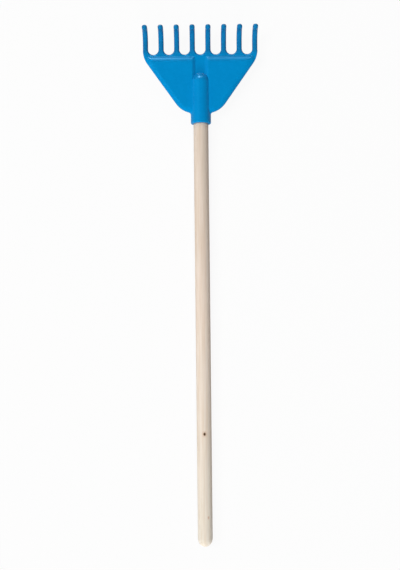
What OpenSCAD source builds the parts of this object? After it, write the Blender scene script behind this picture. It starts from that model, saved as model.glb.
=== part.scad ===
// A child's sand rake lying on its back: a moulded plastic head with curved tines,
// pushed onto a round wooden handle and held there by one screw.
// Millimetres. X runs across the blade, Y along the handle to the tines, Z up, where the tines point.
// The origin is on the ground, under the middle of the rake's length.

/* [Handle] */
// Diameter of the round wooden handle
handle_d = 20; // [18:0.5:24]
// Length of handle that shows below the socket, with its rounded end
handle_len = 570.5; // [300:0.5:900]
// Length of the rounding at the grip end
grip_end_len = 12; // [8:0.5:16]
// How much the handle is turned down all round where it enters the socket
tenon_step = 0.3; // [0.2:0.1:1]
// Bevel that leads the handle into the socket
tenon_bevel = 2; // [1:0.5:3]

/* [Socket] */
// Wall of the socket round the handle
socket_wall = 3.8; // [3.4:0.1:5]
// Rounding of the outer edge at the socket's mouth
mouth_round = 1.5; // [0.5:0.1:2]
// Length of bare socket between its mouth and the blade
collar_len = 13.6; // [13:0.2:25]
// Length of the socket from its mouth to the start of its domed end
socket_len = 55.6; // [40:0.2:65]

/* [Blade] */
// Thickness of the moulded plate
wall = 2.7; // [2:0.1:3.2]
// Height of the plate's front face above the handle's centre line
web_front = 5.4; // [4:0.1:7]
// Height of the blade from its lower edge to its shoulders
blade_h = 75.4; // [66:0.2:100]
// Height of the plate from its shoulders to the roots of the tines
web_h = 11.45; // [10.4:0.05:14]
// Half the width of the lower edge, measured to its unrounded corner
neck_half_w = 24; // [20:0.1:30]
// Radius of the blade's outer corners
corner_r = 32; // [12:0.5:32]

/* [Raised panels] */
// Height of the two raised panels above the plate
panel_rise = 3; // [1.5:0.1:4]
// Radius that rolls each panel's edge down to the plate
panel_roll = 7.5; // [5:0.1:9]
// How much wider the roll is along a panel's top edge, as a share
top_roll_share = 1.6; // [1:0.1:1.8]
// Width of the sunk channel between the panels, at its floor
channel_w = 12; // [8:0.5:20]
// Strip of flat plate between the panels' top edges and the gaps between the tines
web_strip = 3.2; // [2.6:0.1:8]
// Ledge of plate left outside each panel
panel_ledge = 0.3; // [0.2:0.1:1]
// Rounding of a panel's outer top corner, seen from the front
panel_outer_r = 6; // [4:0.5:12]
// Rounding of a panel's other corners, seen from the front
panel_inner_r = 2; // [1:0.5:4]

/* [Tines] */
// Number of tines
tine_count = 8; // [7:1:10]
// Width of a tine
tine_w = 7; // [5:0.1:9]
// Thickness of a tine, front to back
tine_t = 6.6; // [5:0.1:8]
// Rounding of a tine's long edges
tine_edge = 2.2; // [1:0.1:2.3]
// Gap between two tines
tine_gap = 14.1; // [10:0.1:18]
// Straight length of a tine before its bend
tine_straight = 7.5; // [4:0.5:30]
// Radius of the bend, to the middle of the tine
tine_bend = 17; // [8:0.5:30]
// Straight length of a tine past its bend, before its domed tip
tine_end = 0.4; // [0.4:0.1:15]

/* [Fixing screw] */
// Diameter of the screw's shank
screw_d = 3.5; // [3:0.1:4]
// Diameter of the countersunk head
screw_head_d = 6.8; // [6:0.1:7.6]
// Length of the screw
screw_len = 12; // [8:0.5:14]
// Distance of the screw from the socket's mouth
screw_y = 8; // [6:0.5:10]
// Width of one slot of the cross recess
recess_w = 0.9; // [0.6:0.1:1.2]
// Depth of the cross recess
recess_h = 1.2; // [0.8:0.1:1.6]

/* [Fits] */
// Clearance all round the handle in the socket
socket_fit = 0.15; // [0.05:0.05:0.3]
// Gap left at the bottom of the socket
seat_gap = 0.3; // [0.1:0.1:1]
// Clearance all round the screw
screw_fit = 0.1; // [0.05:0.05:0.3]

/* [Hidden] */

// How far a cut runs past the face that it opens, and how far an added piece is sunk into its carrier
overrun = 1;
sink = 0.5;
// Height of one slab of a rolled panel
slab_h = 0.05;
// Slabs in the roll of a panel's edge
roll_steps = 8;
// Steps in each rounded corner of a panel
arc_steps = 10;
// Steps in the rounding of the handle's end
end_steps = 12;
// How much deeper than the tine's flank a gap is cut, so that the flank runs out cleanly
flank_run_out = 0.1;
round_fn = 96;
// Where a tine stands in its own pitch
half_share = 0.5;

handle_r = handle_d / 2;
tenon_r = handle_r - tenon_step;
bore_r = tenon_r + socket_fit;
socket_r = bore_r + socket_wall;
// The bore runs into the domed end until one plate's thickness of wall is left at its corner
bore_len = socket_len + sqrt(pow(socket_r - wall, 2) - pow(bore_r, 2));
tenon_len = bore_len - seat_gap;

blade_low = collar_len;
shoulder_y = blade_low + blade_h;
root_y = shoulder_y + web_h;
tine_pitch = tine_w + tine_gap;
half_w = (tine_count * tine_pitch - tine_gap) / 2;
gap_r = tine_gap / 2 + flank_run_out;
neck_corner = [neck_half_w, blade_low];
shoulder_corner = [half_w, shoulder_y];
flank_angle = atan2(blade_h, half_w - neck_half_w);
web_back = web_front - wall;

panel_top = root_y - tine_gap / 2 - web_strip;
panel_front = web_front + panel_rise;
roll_angle = acos((panel_roll - panel_rise) / panel_roll);
roll_run = panel_roll * sin(roll_angle);
inner_roll = panel_roll - wall;
inner_angle = acos((web_back - panel_front + panel_roll) / inner_roll);

tine_mid = web_front - tine_t / 2;
bend_y = root_y + tine_straight;
tip_r = norm([tine_w, tine_t]) / 2;
tip_y = bend_y + tine_bend + tine_t / 2;

screw_r = screw_d / 2;
screw_head_r = screw_head_d / 2;
screw_cone_h = screw_head_r - screw_r;
// The head lies just under the socket's round back
screw_top = sqrt(pow(socket_r, 2) - pow(screw_head_r, 2)) - screw_fit;

mid_y = (tip_y - handle_len) / 2;

// Carries the rake from its own centre line to the ground under the middle of its length
module on_ground() {
    translate([0, -mid_y, socket_r]) children();
}

// Turns a shape drawn up the Z axis so that it runs along the handle
module along_handle() {
    rotate([-90, 0, 0]) children();
}

// Removes the tip of the corner at p, so that it is left round with radius r
module corner_tip(p, before, after, r) {
    a = (before - p) / norm(before - p);
    b = (after - p) / norm(after - p);
    half = acos(a * b) / 2;
    middle = (a + b) / norm(a + b);
    centre = p + middle * r / sin(half);
    reach = r / tan(half);
    difference() {
        polygon([p + a * reach, p - middle * overrun, p + b * reach, centre]);
        translate(centre) circle(r, $fn = round_fn);
    }
}

// The blade seen from the front, without the gaps between the tines
module blade_outline() {
    for (side = [0, 1]) mirror([side, 0]) difference() {
        polygon([[0, blade_low], neck_corner, shoulder_corner, [half_w, root_y], [0, root_y]]);
        corner_tip(neck_corner, [0, blade_low], shoulder_corner, corner_r);
        corner_tip(shoulder_corner, neck_corner, [half_w, root_y], corner_r);
    }
}

// The round bottom of one gap between tines, flared so that the plate's front edge is left round
module gap_cutter() {
    rotate_extrude($fn = round_fn) {
        translate([0, web_back - overrun]) square([gap_r, wall + 2 * overrun]);
        difference() {
            translate([0, web_front - tine_edge]) square([gap_r + tine_edge, tine_edge + overrun]);
            translate([gap_r + tine_edge, web_front - tine_edge]) circle(tine_edge, $fn = round_fn);
        }
    }
}

// The flat plate, with the round bottoms of the gaps and a shallow cut outside each outer tine
module plate() {
    difference() {
        translate([0, 0, web_back]) linear_extrude(wall) blade_outline();
        for (i = [0 : tine_count]) translate([(i - tine_count / 2) * tine_pitch, root_y, 0]) gap_cutter();
    }
}

// Points along an arc about c, from one angle to another
function arc_points(c, r, from, to) =
    [for (i = [0 : arc_steps]) let (turn = from + (to - from) * i / arc_steps) c + r * [cos(turn), sin(turn)]];

// Where the flank, drawn in by a distance, stands at height y
function flank_x(y, inset) = neck_half_w + ((y - blade_low) * cos(flank_angle) - inset) / sin(flank_angle);

// One raised panel's outline, drawn in by a distance: its lower inner corner, the blade's rounded neck,
// its outer top corner and its inner top corner
function panel_points(inset) = let (
    left = channel_w / 2 + inset,
    low = blade_low + panel_ledge + inset,
    top = panel_top - top_roll_share * inset,
    edge = panel_ledge + inset,
    neck_y = blade_low + corner_r
) concat(
    arc_points([left + panel_inner_r, low + panel_inner_r], panel_inner_r, -180, -90),
    arc_points([flank_x(neck_y, corner_r), neck_y], corner_r - edge, -90, flank_angle - 90),
    arc_points([flank_x(top - panel_outer_r, edge + panel_outer_r), top - panel_outer_r],
        panel_outer_r, flank_angle - 90, 90),
    arc_points([left + panel_inner_r, top - panel_inner_r], panel_inner_r, 90, 180)
);

// One level slab of a panel, drawn in by a distance
module panel_slab(inset, from, to) {
    translate([0, 0, from]) linear_extrude(to - from) polygon(panel_points(inset));
}

// A raised panel: a flat face whose edge rolls down all round and ends inside the plate
module panel() {
    hull() {
        for (i = [0 : roll_steps - 1]) {
            turn = roll_angle * i / roll_steps;
            z = panel_front - panel_roll * (1 - cos(turn));
            panel_slab(roll_run - panel_roll * sin(turn), z - slab_h, z);
        }
        panel_slab(0, web_front - sink, web_front);
    }
}

// The hollow behind a raised panel, one wall thickness inside it
module panel_hollow() {
    hull() {
        for (i = [0 : roll_steps - 1]) {
            turn = inner_angle * i / roll_steps;
            z = panel_front - wall - inner_roll * (1 - cos(turn));
            panel_slab(roll_run - inner_roll * sin(turn), z - slab_h, z);
        }
        panel_slab(roll_run - inner_roll * sin(inner_angle), web_back - overrun, web_back);
    }
}

// The solid of the socket: a round tube with a domed end and a rounded mouth
module socket_body() {
    along_handle() rotate_extrude($fn = round_fn) {
        translate([0, mouth_round]) square([socket_r, socket_len - mouth_round]);
        square([socket_r - mouth_round, mouth_round]);
        translate([0, socket_len]) intersection() {
            circle(socket_r, $fn = round_fn);
            square(socket_r);
        }
        translate([socket_r - mouth_round, 0]) intersection() {
            translate([0, mouth_round]) circle(mouth_round, $fn = round_fn);
            square(mouth_round);
        }
    }
}

// The section of a tine, across its width and thickness
module tine_section() {
    flat_w = tine_w - 2 * tine_edge;
    flat_t = tine_t - 2 * tine_edge;
    square([flat_w, tine_t], center = true);
    square([tine_w, flat_t], center = true);
    for (x = [-flat_w, flat_w], y = [-flat_t, flat_t])
        translate([x, y] / 2) circle(tine_edge, $fn = round_fn);
}

// Repeats a shape drawn for one tine at every tine
module at_tines() {
    for (i = [0 : tine_count - 1])
        translate([(i + half_share - tine_count / 2) * tine_pitch, 0, 0]) children();
}

// The straight roots of all the tines. They run on behind the plate as short ribs with sloping ends,
// inside the blade's outline
module tine_roots() {
    reach = half_w + overrun;
    difference() {
        intersection() {
            at_tines() translate([0, panel_top, tine_mid]) along_handle()
                linear_extrude(bend_y - panel_top) tine_section();
            translate([0, 0, tine_mid - tine_t]) linear_extrude(2 * tine_t) {
                blade_outline();
                translate([-reach, root_y - overrun]) square([2 * reach, bend_y]);
            }
        }
        translate([-reach, panel_top, web_back]) rotate([-45, 0, 0])
            translate([0, -2 * tine_t, -2 * tine_t]) cube([2 * reach, 4 * tine_t, 2 * tine_t]);
    }
}

// The rest of one tine: a quarter bend and a domed tip
module tine() {
    translate([0, bend_y, tine_mid + tine_bend]) rotate([90, 0, 90]) rotate([0, 0, -90])
        rotate_extrude(angle = 90, $fn = round_fn)
            translate([tine_bend, 0]) rotate([0, 0, 90]) tine_section();
    translate([0, bend_y + tine_bend, tine_mid + tine_bend]) {
        linear_extrude(tine_end) tine_section();
        translate([0, 0, tine_end]) intersection() {
            linear_extrude(tip_r) tine_section();
            sphere(tip_r, $fn = round_fn);
        }
    }
}

// The way through the socket's back for the screw, with a countersink for its head
module screw_way() {
    sunk_r = screw_head_r + screw_fit;
    translate([0, screw_y, -socket_r]) {
        cylinder(r = screw_r + screw_fit, h = socket_wall + overrun, $fn = round_fn);
        translate([0, 0, socket_r - screw_top]) {
            cylinder(r1 = sunk_r, r2 = sunk_r - screw_cone_h, h = screw_cone_h, $fn = round_fn);
            translate([0, 0, -overrun]) cylinder(r = sunk_r, h = overrun, $fn = round_fn);
        }
    }
}

module rake_head() {
    color("#0489ca") on_ground() difference() {
        union() {
            difference() {
                union() {
                    plate();
                    for (side = [0, 1]) mirror([side, 0, 0]) panel();
                }
                for (side = [0, 1]) mirror([side, 0, 0]) panel_hollow();
            }
            socket_body();
            tine_roots();
            at_tines() tine();
        }
        translate([0, -overrun, 0]) along_handle()
            cylinder(r = bore_r, h = bore_len + overrun, $fn = round_fn);
        screw_way();
    }
}

module handle() {
    straight_len = handle_len - grip_end_len;
    tip = [for (i = [1 : end_steps]) let (turn = 90 * i / end_steps)
        [handle_r * cos(turn), -straight_len - grip_end_len * sin(turn)]];
    bevel_r = tenon_r - tenon_bevel;
    tenon = [[0, tenon_len], [bevel_r, tenon_len], [tenon_r, tenon_len - tenon_bevel], [tenon_r, 0]];
    color("#e6d9c6") on_ground() difference() {
        along_handle() rotate_extrude($fn = round_fn)
            polygon(concat(tenon, [[handle_r, 0], [handle_r, -straight_len]], tip));
        translate([0, screw_y, -handle_r]) cylinder(r = screw_r + screw_fit,
            h = handle_r - screw_top + screw_len + screw_fit, $fn = round_fn);
    }
}

module fixing_screw() {
    head_side = [[0, 0], [screw_head_r, 0], [screw_r, screw_cone_h]];
    color("#b9bcc0") on_ground() translate([0, screw_y, -screw_top]) difference() {
        rotate_extrude($fn = round_fn)
            polygon(concat(head_side, [[screw_r, screw_len - screw_r], [0, screw_len]]));
        for (turn = [0, 90]) rotate(turn) translate([-screw_r, -recess_w / 2, -overrun])
            cube([screw_d, recess_w, recess_h + overrun]);
    }
}

rake_head();
handle();
fixing_screw();
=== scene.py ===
"""A child's sand rake lying on its back: a moulded blue plastic head, a bare wooden handle and one screw.

Shapes are worked out in millimetres from the socket's mouth, with X across the blade, Y along the handle
towards the tines and Z up. place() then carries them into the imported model's frame, in metres.
"""
import math

import bpy
import numpy as np
from mathutils import Matrix, Vector


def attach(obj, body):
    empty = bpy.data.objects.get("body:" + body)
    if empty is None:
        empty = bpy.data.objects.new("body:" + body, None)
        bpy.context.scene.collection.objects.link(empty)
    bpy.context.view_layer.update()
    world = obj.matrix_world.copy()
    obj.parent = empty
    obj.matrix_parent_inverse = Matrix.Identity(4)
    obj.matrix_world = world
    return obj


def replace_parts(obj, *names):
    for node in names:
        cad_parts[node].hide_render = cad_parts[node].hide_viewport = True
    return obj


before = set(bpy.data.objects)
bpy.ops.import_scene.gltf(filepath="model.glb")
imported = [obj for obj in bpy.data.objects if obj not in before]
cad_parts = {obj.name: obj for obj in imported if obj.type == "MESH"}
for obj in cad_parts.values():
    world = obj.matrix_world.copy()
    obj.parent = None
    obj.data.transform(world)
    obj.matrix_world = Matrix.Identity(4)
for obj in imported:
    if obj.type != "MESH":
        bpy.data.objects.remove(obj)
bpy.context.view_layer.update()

# Sizes in millimetres, the same as in the CAD source but for TINE_EDGE, which is a rounder edge than its 2.2,
# CHANNEL_RUN, the run of the channel's walls, and RIM and BACK_RIM, which round edges that it leaves sharp
SOCKET_R = 13.65
BORE_R = 9.85
BORE_LEN = 60.38
SOCKET_LEN = 55.6
HANDLE_R = 10.0
HANDLE_LEN = 570.5
GRIP_END = 12.0
TENON_R = 9.7
BLADE_LOW = 13.6
SHOULDER_Y = 89.0
ROOT_Y = 100.45
NECK_X = 24.0
HALF_W = 77.35
CORNER_R = 32.0
GAP_R = 7.05
PITCH = 21.1
TINES = 8
TINE_W = 7.0
TINE_T = 6.6
TINE_EDGE = 2.8
STRAIGHT = 7.5
BEND = 17.0
TINE_END = 0.4
FRONT = 5.4
BACK = 2.7
RISE = 3.0
ROLL = 7.5
WALL = 2.7
CHANNEL_X = 6.0
CHANNEL_RUN = 5.0
PANEL_TOP = 90.2
TOP_SHARE = 1.6
LEDGE = 0.3
PANEL_OUTER = 6.0
PANEL_INNER = 2.0
RIM = 0.9
BACK_RIM = 0.4
SCREW_Y = 8.0
SCREW_HOLE = 3.5
SEAT_GAP = 0.3
TENON_BEVEL = 2.0
MOUTH_ROUND = 1.5
TIP_Y = ROOT_Y + STRAIGHT + BEND + TINE_T / 2
MID_Y = (TIP_Y - HANDLE_LEN) / 2
GAP_X = (np.arange(TINES + 1) - TINES / 2) * PITCH
TINE_X = (np.arange(TINES) + 0.5 - TINES / 2) * PITCH

# Fillets, overlaps, soft steps and places of grid lines that only these surfaces have, in millimetres
NECK_FILLET = 2.0
PANEL_FILLET = 0.5
BARREL_FILLET = 1.0
CHANNEL_LEDGE = 0.2
BACK_INSET = 1.2
UNDER_BARREL = 0.04
SINK_Y = 46
SINK_RUN = 9
SINK = 3
ROOT_Y_LOW = PANEL_TOP + 0.4
ROOT_RUN = 5
ROOT_UNDER = 0.08
TIP_H = 3.1
MOUTH_INNER = 0.3
DIMPLE_Z = -12.9
DIMPLE_SOFT = 0.6
SHEET_TOP = 4
MIDDLE_X = 0.65
ROOT_INSET = 0.05
BORE_BEVEL = 0.6
SHOULDER_BEVEL = 0.25
LEAST_STEP = 0.02
SCREW_REACH = 5

# Shares: of the channel wall's run, rounded at each end, and of the roll's radius, where its arc ends in a
# slope of ROLL_SLOPE
CHANNEL_EASE = 0.16
ROLL_END = 0.9
ROLL_SLOPE = 2

# Powers of the cosine that round a tine's tip and the handle's grip end
TIP_POWER = 0.85
GRIP_POWER = 0.9

# How the blade's columns are divided: rows drawn together at both ends, and pushed up towards the tines
PINCH = 0.45
LEAN = 0.3

# Angle from the socket's front, in degrees, past which its columns are finer for the dimple round the screw
FINE_TURN = 162


# Meshes

def place(points):
    """The points, in millimetres from the socket's mouth, in the model's frame in metres."""
    return (np.asarray(points, float) + [0.0, -MID_Y, SOCKET_R]) * 0.001


def make_piece(name, points, faces, material):
    """A smooth-shaded mesh from an array of points in millimetres and a list of arrays of faces."""
    mesh = bpy.data.meshes.new(name)
    mesh.from_pydata(place(points).tolist(), [], [f for group in faces for f in group.tolist()])
    mesh.validate()
    mesh.polygons.foreach_set("use_smooth", np.ones(len(mesh.polygons), bool))
    mesh.materials.append(material)
    mesh.update()
    piece = bpy.data.objects.new(name, mesh)
    bpy.context.scene.collection.objects.link(piece)
    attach(piece, "root")
    return piece


def grid_faces(index, flip=False):
    """Quads over a 2-D array of point numbers, one for each cell."""
    a, b, c, d = index[:-1, :-1], index[1:, :-1], index[1:, 1:], index[:-1, 1:]
    quads = np.stack([a, b, c, d], -1).reshape(-1, 4)
    return quads[:, ::-1] if flip else quads


def sweep(sections):
    """Points and faces of a closed body from its sections, an array (row, point round, xyz).

    Neighbouring rows are joined all round, and each end is closed by a fan to the middle of its section.
    """
    rows, around, _ = sections.shape
    index = np.arange(rows * around).reshape(rows, around)
    ring = np.concatenate([index, index[:, :1]], 1)
    first, last = rows * around, rows * around + 1
    ends = np.stack([sections[0].mean(0), sections[-1].mean(0)])
    points = np.concatenate([sections.reshape(-1, 3), ends])
    fan_a = np.stack([ring[0, 1:], ring[0, :-1], np.full(around, first)], -1)
    fan_b = np.stack([ring[-1, :-1], ring[-1, 1:], np.full(around, last)], -1)
    return points, [grid_faces(ring, True), fan_a, fan_b]


def revolve(profile, turn):
    """Sections of a body turned about the Y axis: each profile point (radius, y) becomes a circle."""
    r, y = np.asarray(profile, float).T[:, :, None]
    return np.stack([r * np.sin(turn), np.repeat(y, len(turn), 1), r * np.cos(turn)], -1)


def arc(cx, cy, r, start, end, steps):
    """Points (x, y) on a circle's arc, from one angle to another in degrees."""
    a = np.radians(np.linspace(start, end, steps))
    return np.stack([cx + r * np.cos(a), cy + r * np.sin(a)], -1)


def spread(a, b, steps):
    """Points (x, y) spread evenly from a to b, without b."""
    t = np.arange(steps)[:, None] / steps
    return np.asarray(a, float) * (1 - t) + np.asarray(b, float) * t


# The blade

def soft_max(a, b, k):
    """The larger of a and b, with the corner between them filled over a width k.

    It is max(a, b) + h^2 k / 4, where h is 1 - |a - b| / k and not below 0.
    """
    h = np.clip(1 - np.abs(a - b) / k, 0, None)
    return np.maximum(a, b) + h * h * k / 4


def corner(a, b, r):
    """The smaller of two distances in from edges, as level lines whose corners all have radius r.

    Where |a - b| < r it is (a + b) / 2 - r + sqrt(2 r^2 - (a - b)^2) / 2.
    """
    gap = np.clip(np.abs(a - b), 0, r)
    return np.where(gap < r, (a + b) / 2 - r + np.sqrt(2 * r * r - gap * gap) / 2, np.minimum(a, b))


def fall(depth, r):
    """How far an edge rounded with radius r lies below its face, at a depth inside the edge.

    It is r - sqrt(r^2 - (r - depth)^2), and 0 where the depth is more than r.
    """
    t = np.clip(r - depth, 0, r)
    return r - np.sqrt(np.clip(r * r - t * t, 0, None))


# The direction of the straight flank, and each rounded corner's reach along its edges and its centre
FLANK_RUN, FLANK_RISE = HALF_W - NECK_X, SHOULDER_Y - BLADE_LOW
FLANK = np.array([FLANK_RUN, FLANK_RISE]) / math.hypot(FLANK_RUN, FLANK_RISE)
NECK_REACH = CORNER_R / math.tan(math.acos(-FLANK[0]) / 2)
SHOULDER_REACH = CORNER_R / math.tan((math.pi - math.acos(FLANK[1])) / 2)
NECK_C = np.array([NECK_X - NECK_REACH, BLADE_LOW + CORNER_R])
SHOULDER_C = np.array([HALF_W - CORNER_R, SHOULDER_Y + SHOULDER_REACH])


def lower_line(x, depth):
    """The line that runs a depth inside the blade's lower edge: its height at x and its outward direction.

    It is level, then an arc, the straight flank and a second arc. Beside the socket it drops by a small
    fillet.
    """
    side, x = np.sign(x), np.abs(x)
    r = CORNER_R - depth
    arcs = [x < NECK_C[0], x < NECK_C[0] + r * FLANK[1], x < SHOULDER_C[0] + r * FLANK[1]]
    out_x = np.select(arcs, [np.zeros_like(x), (x - NECK_C[0]) / r, np.full_like(x, FLANK[1])],
                      np.minimum((x - SHOULDER_C[0]) / r, 1))
    out_y = -np.sqrt(1 - out_x**2)
    flank = BLADE_LOW + (depth + (x - NECK_X) * FLANK[1]) / FLANK[0]
    y = np.select([arcs[1], arcs[2]], [NECK_C[1] + r * out_y, flank], SHOULDER_C[1] + r * out_y)
    web = np.clip(SOCKET_R + NECK_FILLET - x, 0, NECK_FILLET)
    return y - NECK_FILLET + np.sqrt(NECK_FILLET**2 - web**2), side * out_x, out_y


def upper_edge(x):
    """Height of the web's upper edge at x: level at the tines, and a half circle down into each gap."""
    near = np.min(np.abs(x[..., None] - GAP_X[1:-1]), -1)
    return ROOT_Y - np.sqrt(np.clip(GAP_R**2 - near**2, 0, None))


def edge_distance(x, y):
    """Distance inwards from the blade's lower edge, flank and side, with both corners as arcs."""
    x = np.abs(x)
    from_flank = (x - NECK_X) * -FLANK[1] + (y - BLADE_LOW) * FLANK[0]
    d = np.minimum(y - BLADE_LOW, np.minimum(from_flank, HALF_W - x))
    for c, before, after in ((NECK_C, (1.0, 0.0), FLANK), (SHOULDER_C, FLANK, (0.0, 1.0))):
        px, py = x - c[0], y - c[1]
        here = (px * before[0] + py * before[1] > 0) & (px * after[0] + py * after[1] < 0)
        d = np.where(here, CORNER_R - np.hypot(px, py), d)
    return d


def straight_rise(t, e):
    """A rise from 0 to 1 over t from 0 to 1: a parabola over a share e at each end, and straight between."""
    near = np.minimum(t, 1 - t)
    part = np.where(near < e, near * near / (2 * e), near - e / 2) / (1 - e)
    return np.where(t < 0.5, part, 1 - part)


def panel_height(x, y, roll, inset):
    """Height of a raised panel over the plate: a flat top whose edge rolls down along an arc of radius roll.

    Towards the channel it is a straight slope with a rounded top and foot instead of the arc. Past ROLL_END
    of its radius the arc passes into a slope, so that it has no end.
    """
    run = math.sqrt(roll**2 - (roll - RISE)**2)
    beside = np.abs(x) - CHANNEL_X - CHANNEL_LEDGE
    step = RISE * (1 - straight_rise(np.clip(beside / CHANNEL_RUN, 0, 1), CHANNEL_EASE))
    slope = run - np.sqrt(roll**2 - (roll - step)**2)
    inner = np.where(beside < CHANNEL_RUN, slope, run + beside - CHANNEL_RUN)
    inner = inner + np.minimum(beside, 0)
    d = corner(inner, (PANEL_TOP - y) / TOP_SHARE, PANEL_INNER)
    d = corner(d, edge_distance(x, y) - LEDGE, PANEL_OUTER) - inset
    out = np.clip(run - d, 0, None)
    steep = np.clip(out - roll * ROLL_END, 0, None)
    out = out - steep
    return RISE - roll + np.sqrt(roll**2 - out**2) - ROLL_SLOPE * steep


def front_height(x, y, depth):
    """The blade's front: plate, panels and socket joined by small fillets, and rounded down at its edges.

    Beside the barrel it lies just under the socket's own surface, and nowhere more than SHEET_TOP above the
    plate. Towards the dome it sinks deeper, so that the dome meets the plate in a crisp line. Within
    TINE_EDGE of a gap it is rounded down, to a little below the plate's back.
    """
    z = soft_max(np.full_like(x, FRONT), FRONT + panel_height(x, y, ROLL, 0.0), PANEL_FILLET)
    up = np.clip(y - SOCKET_LEN, 0, None)
    t = np.clip((y - SINK_Y) / SINK_RUN, 0, 1)
    r = SOCKET_R - UNDER_BARREL - SINK * t * t * (3 - 2 * t)
    z = soft_max(z, np.sqrt(np.clip(r**2 - x**2 - up**2, 0, None)), BARREL_FILLET)
    gap = np.min(np.hypot(x[..., None] - GAP_X, y[..., None] - ROOT_Y), -1) - GAP_R
    top = FRONT - fall(gap, TINE_EDGE) + SHEET_TOP * (gap >= TINE_EDGE)
    return np.minimum(z - fall(depth, RIM), top)


def back_height(x, y, depth):
    """The blade's back: the plate with a hollow behind each panel, rounded a little at its edges."""
    z = BACK + np.clip(panel_height(x, y, ROLL - WALL, BACK_INSET), 0, None)
    gap = np.min(np.hypot(x[..., None] - GAP_X[1:-1], y[..., None] - ROOT_Y), -1) - GAP_R
    return z + fall(np.minimum(gap, depth), BACK_RIM)


def blade():
    """Points and faces of the blade: a front and a back sheet over one plan grid, joined round the edge.

    Columns are lines of constant x, closer together where an edge runs along them. From a line RIM inside the
    lower edge up to the upper edge, a column is divided by s - PINCH sin(2 pi s) / (2 pi) + LEAN s (1 - s).
    Below that line come rows that step outwards by RIM sin(a), and down by RIM (1 - cos(a)).
    """
    turn = np.radians(np.linspace(-90, 90, 29))[:-1]
    bend = TINE_W / 2 - TINE_EDGE * (1 - np.sin(np.radians(np.linspace(90, 0, 7))))
    across = np.concatenate([-bend, [-MIDDLE_X, 0.0, MIDDLE_X], bend[:0:-1]])
    r = CORNER_R - RIM
    first = math.acos((TINE_X[-1] - TINE_W / 2 - SHOULDER_C[0]) / r)
    outer = SHOULDER_C[0] + r * np.cos(np.linspace(first, 0, 27))
    columns = [-outer[:0:-1]]
    for i in range(TINES):
        if 0 < i < TINES - 1:
            columns.append(TINE_X[i] + across)
        if i < TINES - 1:
            columns.append(GAP_X[i + 1] + GAP_R * np.sin(turn))
    x = np.concatenate(columns + [outer])
    s = np.linspace(0, 1, 101)
    w = s - PINCH * np.sin(2 * math.pi * s) / (2 * math.pi) + LEAN * s * (1 - s)
    low, out_x, out_y = lower_line(x, RIM)
    high = upper_edge(x)
    a = np.radians(np.linspace(90, 0, 10))[:-1]
    step = RIM * np.sin(a)
    y = np.concatenate([low[:, None] + out_y[:, None] * step, low[:, None] + (high - low)[:, None] * w], 1)
    x = np.concatenate([x[:, None] + out_x[:, None] * step, np.repeat(x[:, None], len(w), 1)], 1)
    depth = np.broadcast_to(np.concatenate([RIM - step, np.full(len(w), RIM)]), x.shape)
    front = np.stack([x, y, front_height(x, y, depth)], -1)
    back = np.stack([x, y, back_height(x, y, depth)], -1)
    a = np.arange(x.size).reshape(x.shape)
    b = a + x.size
    loop = [np.concatenate([k[:, 0], k[-1, 1:], k[-2::-1, -1], k[0, -2::-1]]) for k in (a, b)]
    wall = grid_faces(np.stack(loop))
    points = np.concatenate([front.reshape(-1, 3), back.reshape(-1, 3)])
    return points, [grid_faces(a), grid_faces(b, True), wall]


# The tines

def tine_section():
    """Points (across, out) round a tine: a rectangle of its width and thickness with rounded corners."""
    w, t, r = TINE_W / 2 - TINE_EDGE, TINE_T / 2 - TINE_EDGE, TINE_EDGE
    corners = [arc(sx * w, st * t, r, start, start + 90, 9)
               for sx, st, start in ((1, 1, 0), (-1, 1, 90), (-1, -1, 180), (1, -1, 270))]
    return np.concatenate(corners)


def tine(x):
    """Sections of one tine: its root rises out of the plate's back, then a quarter bend and a domed tip.

    The section is carried along a path in the YZ plane. In the root its back grows out of the plate by the
    smooth step 3 t^2 - 2 t^3, and its front keeps just under the plate's. At the tip it shrinks by a power
    of an angle's cosine as the height grows with its sine. The root of an outer tine is narrowed to stay
    inside the blade's corner.
    """
    across, out = tine_section().T
    mid = FRONT - TINE_T / 2
    bend_y, bend_z = ROOT_Y + STRAIGHT, mid + BEND
    rows = []
    for y in np.linspace(ROOT_Y_LOW, ROOT_Y, 14):
        t = min((y - ROOT_Y_LOW) / ROOT_RUN, 1)
        low = -TINE_T / 2 + (TINE_T - FRONT + BACK) * (1 - t * t * (3 - 2 * t))
        high = TINE_T / 2 - ROOT_UNDER * (y < ROOT_Y)
        edge = SHOULDER_C[0] + math.sqrt(CORNER_R**2 - min(y - SHOULDER_C[1], 0)**2) - ROOT_INSET
        narrow = min((edge - abs(x)) / (TINE_W / 2), 1)
        o = (out + TINE_T / 2) / TINE_T * (high - low) + low
        beside = x + across * np.where(across * x > 0, narrow, 1)
        rows.append(np.stack([beside, np.full_like(across, y), mid + o], -1))
    for y in ROOT_Y + STRAIGHT * np.arange(1, 5) / 5:
        rows.append(np.stack([x + across, np.full_like(across, y), mid + out], -1))
    for a in np.radians(np.linspace(0, 90, 29)):
        r = BEND - out
        rows.append(np.stack([x + across, bend_y + r * math.sin(a), bend_z - r * math.cos(a)], -1))
    low = bend_z + TINE_END + math.hypot(TINE_W, TINE_T) / 2 - TIP_H
    y = bend_y + BEND
    for a in np.radians(np.linspace(0, 88, 12)):
        k = math.cos(a) ** TIP_POWER
        z = np.full_like(across, low + TIP_H * math.sin(a))
        rows.append(np.stack([x + across * k, y - out * k, z], -1))
    return np.array(rows)


# The socket and the handle

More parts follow.
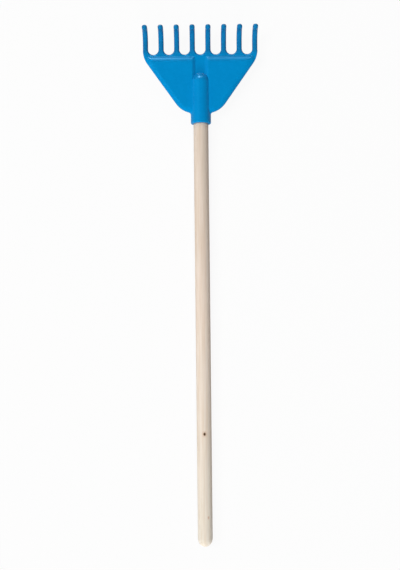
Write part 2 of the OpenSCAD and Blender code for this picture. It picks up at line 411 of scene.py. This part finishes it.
def socket():
    """Sections of the socket: from the bore's floor over the mouth and the outside to the top of the dome.

    Round the screw the outside is pressed in, with the depth going as a smooth step 3 t^2 - 2 t^3 of the
    distance from the screw's axis.
    """
    low, high = SCREW_Y - SCREW_REACH, SCREW_Y + SCREW_REACH
    profile = np.concatenate([
        [[LEAST_STEP, BORE_LEN], [BORE_R - BORE_BEVEL, BORE_LEN], [BORE_R, BORE_LEN - BORE_BEVEL]],
        spread([BORE_R, BORE_LEN - 2], [BORE_R, 0.5], 6),
        arc(BORE_R + MOUTH_INNER, MOUTH_INNER, MOUTH_INNER, 180, 270, 6),
        arc(SOCKET_R - MOUTH_ROUND, MOUTH_ROUND, MOUTH_ROUND, 270, 360, 12),
        spread([SOCKET_R, low], [SOCKET_R, high], 60),
        spread([SOCKET_R, high], [SOCKET_R, SOCKET_LEN], 20),
        arc(0, SOCKET_LEN, SOCKET_R, 0, 89.9, 36)])
    turn = np.linspace(-FINE_TURN, FINE_TURN, 121)
    turn = np.concatenate([turn, np.linspace(FINE_TURN, 360 - FINE_TURN, 71)[1:-1]])
    sections = revolve(profile, np.radians(turn))
    x, y, z = np.moveaxis(sections, -1, 0)
    t = np.clip((SCREW_HOLE + DIMPLE_SOFT / 2 - np.hypot(x, y - SCREW_Y)) / DIMPLE_SOFT, 0, 1)
    pressed = np.where(z < -BORE_R - 1, np.maximum(DIMPLE_Z, z), z)
    sections[..., 2] = z + (pressed - z) * t * t * (3 - 2 * t)
    return sections


def handle():
    """Sections of the handle: its thinner end in the socket, the straight round and the rounded grip end."""
    turn = np.radians(np.linspace(0, 89.5, 24))
    straight = HANDLE_LEN - GRIP_END
    end = np.stack([HANDLE_R * np.cos(turn) ** GRIP_POWER, -straight - GRIP_END * np.sin(turn)], -1)
    top = BORE_LEN - SEAT_GAP
    profile = np.concatenate([
        [[LEAST_STEP, top], [TENON_R - TENON_BEVEL, top], [TENON_R, top - TENON_BEVEL]],
        [[TENON_R, LEAST_STEP], [HANDLE_R - SHOULDER_BEVEL, 0.0], [HANDLE_R, -SHOULDER_BEVEL]],
        spread([HANDLE_R, -3], [HANDLE_R, -straight], 140), end])
    return revolve(profile, np.linspace(0, 2 * math.pi, 96, endpoint=False))


# Materials

WHITE = (1, 1, 1, 1)
NO_RED = (0, 1, 1, 1)

# In metres: where the painted shade of the tines starts, the length it grows over, and the marks on the wood
TINE_SHADE_Y = float(place([0, PANEL_TOP, FRONT])[1])
TINE_SHADE_RUN = 0.009
KNOT = place([0.4, -417.7, 10.0])
FLECK = place([4.5, -529.6, 8.9])
SPOT_REACH = 0.005


def material(name):
    """A new node material with its node tree, its shader and the function that links sockets."""
    mat = bpy.data.materials.new(name)
    mat.use_nodes = True
    tree = mat.node_tree
    return mat, tree, tree.nodes["Principled BSDF"], tree.links.new


def linear(*rgb):
    """An sRGB colour in 0 to 255 as the linear colour that a socket takes."""
    c = np.array(rgb) / 255
    return (*np.where(c <= 0.04045, c / 12.92, ((c + 0.055) / 1.055) ** 2.4).tolist(), 1.0)


def noise(tree, vector, scale, detail=2.0, rough=0.5):
    """A noise texture on the given vector."""
    n = tree.nodes.new("ShaderNodeTexNoise")
    n.inputs["Scale"].default_value = scale
    n.inputs["Detail"].default_value = detail
    n.inputs["Roughness"].default_value = rough
    tree.links.new(vector, n.inputs["Vector"])
    return n.outputs["Fac"]


def ramp(tree, fac, stops):
    """A colour ramp over fac, with stops of (position, colour)."""
    r = tree.nodes.new("ShaderNodeValToRGB")
    while len(r.color_ramp.elements) < len(stops):
        r.color_ramp.elements.new(0.5)
    for e, (at, colour) in zip(r.color_ramp.elements, stops):
        e.position, e.color = at, colour
    tree.links.new(fac, r.inputs["Fac"])
    return r.outputs["Color"]


def object_space(tree, scale=(1, 1, 1), at=(0, 0, 0)):
    """Object coordinates multiplied by scale, then moved by at."""
    t = tree.nodes.new("ShaderNodeTexCoord")
    m = tree.nodes.new("ShaderNodeMapping")
    m.vector_type = "POINT"
    m.inputs["Scale"].default_value = scale
    m.inputs["Location"].default_value = at
    tree.links.new(t.outputs["Object"], m.inputs["Vector"])
    return m.outputs["Vector"]


def blue_plastic():
    """Moulded blue plastic: a fine satin skin, faint mottling and a darker, greyer painted shade on web and
    tines.
    """
    mat, tree, shader, link = material("moulded_blue_plastic")
    place_at = object_space(tree)
    mottle = noise(tree, place_at, 42, 3)
    colour = ramp(tree, mottle, [(0.3, linear(16, 133, 197)), (0.7, linear(16, 137, 201))])
    along = tree.nodes.new("ShaderNodeSeparateXYZ")
    link(place_at, along.inputs[0])
    # Painted shade: from the panels' top edge the colour grows darker and greyer over the web and the tines.
    tine_shade = tree.nodes.new("ShaderNodeMapRange")
    tine_shade.inputs["From Min"].default_value, tine_shade.inputs["From Max"].default_value = TINE_SHADE_Y, TINE_SHADE_Y + TINE_SHADE_RUN
    link(along.outputs["Y"], tine_shade.inputs["Value"])
    tone = ramp(tree, tine_shade.outputs["Result"], [(0, NO_RED), (1, linear(255, 220, 221))])
    link(multiply(tree, colour, tone), shader.inputs["Base Color"])
    satin = noise(tree, place_at, 130, 4, 0.6)
    rough = ramp(tree, satin, [(0.35, (0.25, 0.25, 0.25, 1)), (0.7, (0.3, 0.3, 0.3, 1))])
    link(rough, shader.inputs["Roughness"])
    shader.inputs["Specular IOR Level"].default_value = 0.22
    shader.inputs["Specular Tint"].default_value = (0.1, 0.6, 1.0, 1.0)
    skin = tree.nodes.new("ShaderNodeBump")
    skin.inputs["Strength"].default_value = 0.06
    skin.inputs["Distance"].default_value = 0.0001
    link(noise(tree, place_at, 1400, 2), skin.inputs["Height"])
    link(skin.outputs["Normal"], shader.inputs["Normal"])
    return mat


def spot(tree, centre, scale, stops):
    """A ramp over the distance from a point, which ends SPOT_REACH away.

    A scale below 1 draws the spot out along that axis.
    """
    away = tree.nodes.new("ShaderNodeVectorMath")
    away.operation = "LENGTH"
    scale = [k / SPOT_REACH for k in scale]
    at = [-c * k for c, k in zip(centre, scale)]
    tree.links.new(object_space(tree, scale, at), away.inputs[0])
    return ramp(tree, away.outputs["Value"], stops)


def multiply(tree, a, b, share=1.0):
    """Colour a times colour b, as far as share says."""
    mix = tree.nodes.new("ShaderNodeMix")
    mix.data_type, mix.blend_type = "RGBA", "MULTIPLY"
    mix.inputs["Factor"].default_value = share
    tree.links.new(a, mix.inputs["A"])
    tree.links.new(b, mix.inputs["B"])
    return mix.outputs["Result"]


def pale_wood():
    """Bare sanded wood: long grain streaks, lighter towards the grip end, a small pin knot and a reddish
    fleck.
    """
    mat, tree, shader, link = material("bare_pale_wood")
    streak = noise(tree, object_space(tree, (1, 0.03, 1)), 420, 4, 0.6)
    bands = noise(tree, object_space(tree, (1, 0.06, 1)), 110, 2, 0.5)
    along = tree.nodes.new("ShaderNodeSeparateXYZ")
    link(object_space(tree), along.inputs[0])
    tone = tree.nodes.new("ShaderNodeMapRange")
    tone.inputs["From Min"].default_value, tone.inputs["From Max"].default_value = -0.35, 0.22
    link(along.outputs["Y"], tone.inputs["Value"])
    base = ramp(tree, tone.outputs["Result"], [(0, linear(238, 231, 219)), (0.55, linear(236, 221, 208)),
                                               (1, linear(224, 210, 197))])
    wide = ramp(tree, bands, [(0.3, linear(244, 242, 238)), (0.7, WHITE)])
    fine = ramp(tree, streak, [(0.36, linear(235, 220, 202)), (0.6, WHITE)])
    colour = multiply(tree, multiply(tree, base, wide), fine, 0.4)
    knot = spot(tree, KNOT, (1, 0.75, 0.5), [(0.14, linear(70, 56, 44)), (0.3, linear(165, 145, 126)),
                                             (0.38, linear(244, 232, 226)), (0.8, WHITE)])
    fleck = spot(tree, FLECK, (1, 0.5, 0.5), [(0.08, linear(236, 208, 196)), (0.3, WHITE)])
    link(multiply(tree, multiply(tree, colour, knot), fleck), shader.inputs["Base Color"])
    shader.inputs["Roughness"].default_value = 0.72
    shader.inputs["Specular IOR Level"].default_value = 0.15
    grain = tree.nodes.new("ShaderNodeBump")
    grain.inputs["Strength"].default_value = 0.25
    grain.inputs["Distance"].default_value = 0.0002
    link(streak, grain.inputs["Height"])
    link(grain.outputs["Normal"], shader.inputs["Normal"])
    return mat


def zinc_steel():
    """Bright zinc plating with a fine uneven sheen."""
    mat, tree, shader, link = material("zinc_plated_steel")
    mottle = noise(tree, object_space(tree), 900, 3)
    tone = ramp(tree, mottle, [(0.3, linear(172, 176, 182)), (0.7, linear(205, 208, 212))])
    link(tone, shader.inputs["Base Color"])
    shader.inputs["Metallic"].default_value = 1.0
    shader.inputs["Roughness"].default_value = 0.34
    return mat


def floor_white():
    """A pale floor that looks nearly white to the camera and keeps a faint shadow."""
    mat, tree, shader, link = material("pale_floor")
    path = tree.nodes.new("ShaderNodeLightPath")
    shader.inputs["Base Color"].default_value = (0.7, 0.7, 0.7, 1)
    shader.inputs["Roughness"].default_value = 0.9
    glow = tree.nodes.new("ShaderNodeEmission")
    glow.inputs["Color"].default_value = WHITE
    mix = tree.nodes.new("ShaderNodeMixShader")
    share = tree.nodes.new("ShaderNodeMath")
    share.operation = "MULTIPLY"
    share.inputs[1].default_value = FLOOR_GLOW
    link(path.outputs["Is Camera Ray"], share.inputs[0])
    link(share.outputs[0], mix.inputs["Fac"])
    link(shader.outputs["BSDF"], mix.inputs[1])
    link(glow.outputs[0], mix.inputs[2])
    link(mix.outputs[0], tree.nodes["Material Output"].inputs["Surface"])
    return mat


# The rake

plastic, wood, steel = blue_plastic(), pale_wood(), zinc_steel()

points, faces = blade()
blade_piece = make_piece("head_blade", points, faces, plastic)
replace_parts(blade_piece, "rake_head")
points, faces = sweep(socket())
make_piece("head_socket", points, faces, plastic)
parts = [sweep(tine(x)) for x in TINE_X]
offsets = np.cumsum([0] + [len(p) for p, _ in parts])
points = np.concatenate([p for p, _ in parts])
faces = [f + offset for (_, fs), offset in zip(parts, offsets) for f in fs]
make_piece("head_tines", points, faces, plastic)
points, faces = sweep(handle())
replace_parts(make_piece("wooden_handle", points, faces, wood), "handle")
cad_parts["fixing_screw"].data.materials.clear()
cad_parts["fixing_screw"].data.materials.append(steel)


# Floor, light and camera

# The floor's half width and the place of the head in metres, the floor's own light and the fill light as
# shares of white, and the photograph's height in pixels
FLOOR_HALF = 30
HEAD = (0, 0.28, 0)
FLOOR_GLOW = 0.93
FILL = 0.16
PHOTO_H = 570


def floor():
    """A flat square floor under the rake."""
    mesh = bpy.data.meshes.new("floor")
    corners = [(-1, -1), (1, -1), (1, 1), (-1, 1)]
    mesh.from_pydata([(FLOOR_HALF * x, FLOOR_HALF * y, 0) for x, y in corners], [], [(0, 1, 2, 3)])
    mesh.materials.append(floor_white())
    piece = bpy.data.objects.new("floor", mesh)
    bpy.context.scene.collection.objects.link(piece)


def lamp(name, at, aim, size, power, light_for):
    """A square soft lamp that faces a point and gives either diffuse light or sheen on smooth surfaces."""
    light = bpy.data.lights.new(name, "AREA")
    light.size, light.energy = size, power
    piece = bpy.data.objects.new(name, light)
    piece.location = at
    piece.rotation_euler = (Vector(at) - Vector(aim)).to_track_quat("Z", "Y").to_euler()
    piece.visible_glossy = light_for == "sheen"
    piece.visible_diffuse = light_for == "diffuse"
    bpy.context.scene.collection.objects.link(piece)


def studio():
    """A white world: plain white where it is seen or mirrored, and a softer fill for the light it casts."""
    world = bpy.data.worlds.new("studio")
    world.use_nodes = True
    bpy.context.scene.world = world
    tree = world.node_tree
    back = tree.nodes["Background"]
    back.inputs["Color"].default_value = WHITE
    path = tree.nodes.new("ShaderNodeLightPath")
    total = path.outputs["Is Camera Ray"]
    for kind in ("Is Glossy Ray", "Is Transmission Ray"):
        add = tree.nodes.new("ShaderNodeMath")
        add.operation = "ADD"
        add.use_clamp = True
        tree.links.new(total, add.inputs[0])
        tree.links.new(path.outputs[kind], add.inputs[1])
        total = add.outputs[0]
    level = tree.nodes.new("ShaderNodeMapRange")
    level.inputs["To Min"].default_value = FILL
    level.inputs["To Max"].default_value = 1.0
    tree.links.new(total, level.inputs["Value"])
    tree.links.new(level.outputs["Result"], back.inputs["Strength"])


floor()
studio()
lamp("key", (-2.1, 0.3, 3.4), (0, 0, 0), 2.0, 102, "diffuse")
lamp("front", (0.0, -3.75, 1.7), (0, 0, 0), 1.6, 111, "diffuse")
lamp("rear", (-0.8, 3.2, 1.9), (0, 0, 0), 1.6, 22, "diffuse")
lamp("back", (0.2, 3.0, 1.5), HEAD, 1.6, 13, "sheen")
lamp("spot_a", (-0.6, 3.0, 1.5), HEAD, 0.4, 98, "sheen")
lamp("spot_b", (0.6, 3.0, 1.5), HEAD, 0.4, 26, "sheen")
lamp("glint", (-1.09, 1.57, 1.1), HEAD, 0.3, 3.5, "sheen")


def camera():
    """The photograph's view, from 1.1 m almost straight down. The focal length is in its pixels.

    It was fitted to the handle's edges, the socket's mouth and the tips of the tines.
    """
    distance, tilt, roll, focal = 1.1, math.radians(0.40), math.radians(0.61), 813.8
    target = place([-3.58, -217.93, 0.0])
    back = np.array([0.0, -math.sin(tilt), math.cos(tilt)])
    up = np.array([0.0, 1.0, 0.0]) - back * back[1]
    up /= np.linalg.norm(up)
    right = np.cross(up, back)
    tilted_up = up * math.cos(roll) + right * math.sin(roll)
    tilted_right = right * math.cos(roll) - up * math.sin(roll)
    data = bpy.data.cameras.new("camera")
    data.sensor_width = 36.0
    data.lens = focal / PHOTO_H * data.sensor_width
    data.clip_start, data.clip_end = 0.01, 100
    piece = bpy.data.objects.new("camera", data)
    matrix = np.eye(4)
    matrix[:3] = np.stack([tilted_right, tilted_up, back, target + back * distance], 1)
    piece.matrix_world = Matrix(matrix.tolist())
    bpy.context.scene.collection.objects.link(piece)
    bpy.context.scene.camera = piece


camera()
bpy.context.scene.view_settings.view_transform = "Standard"
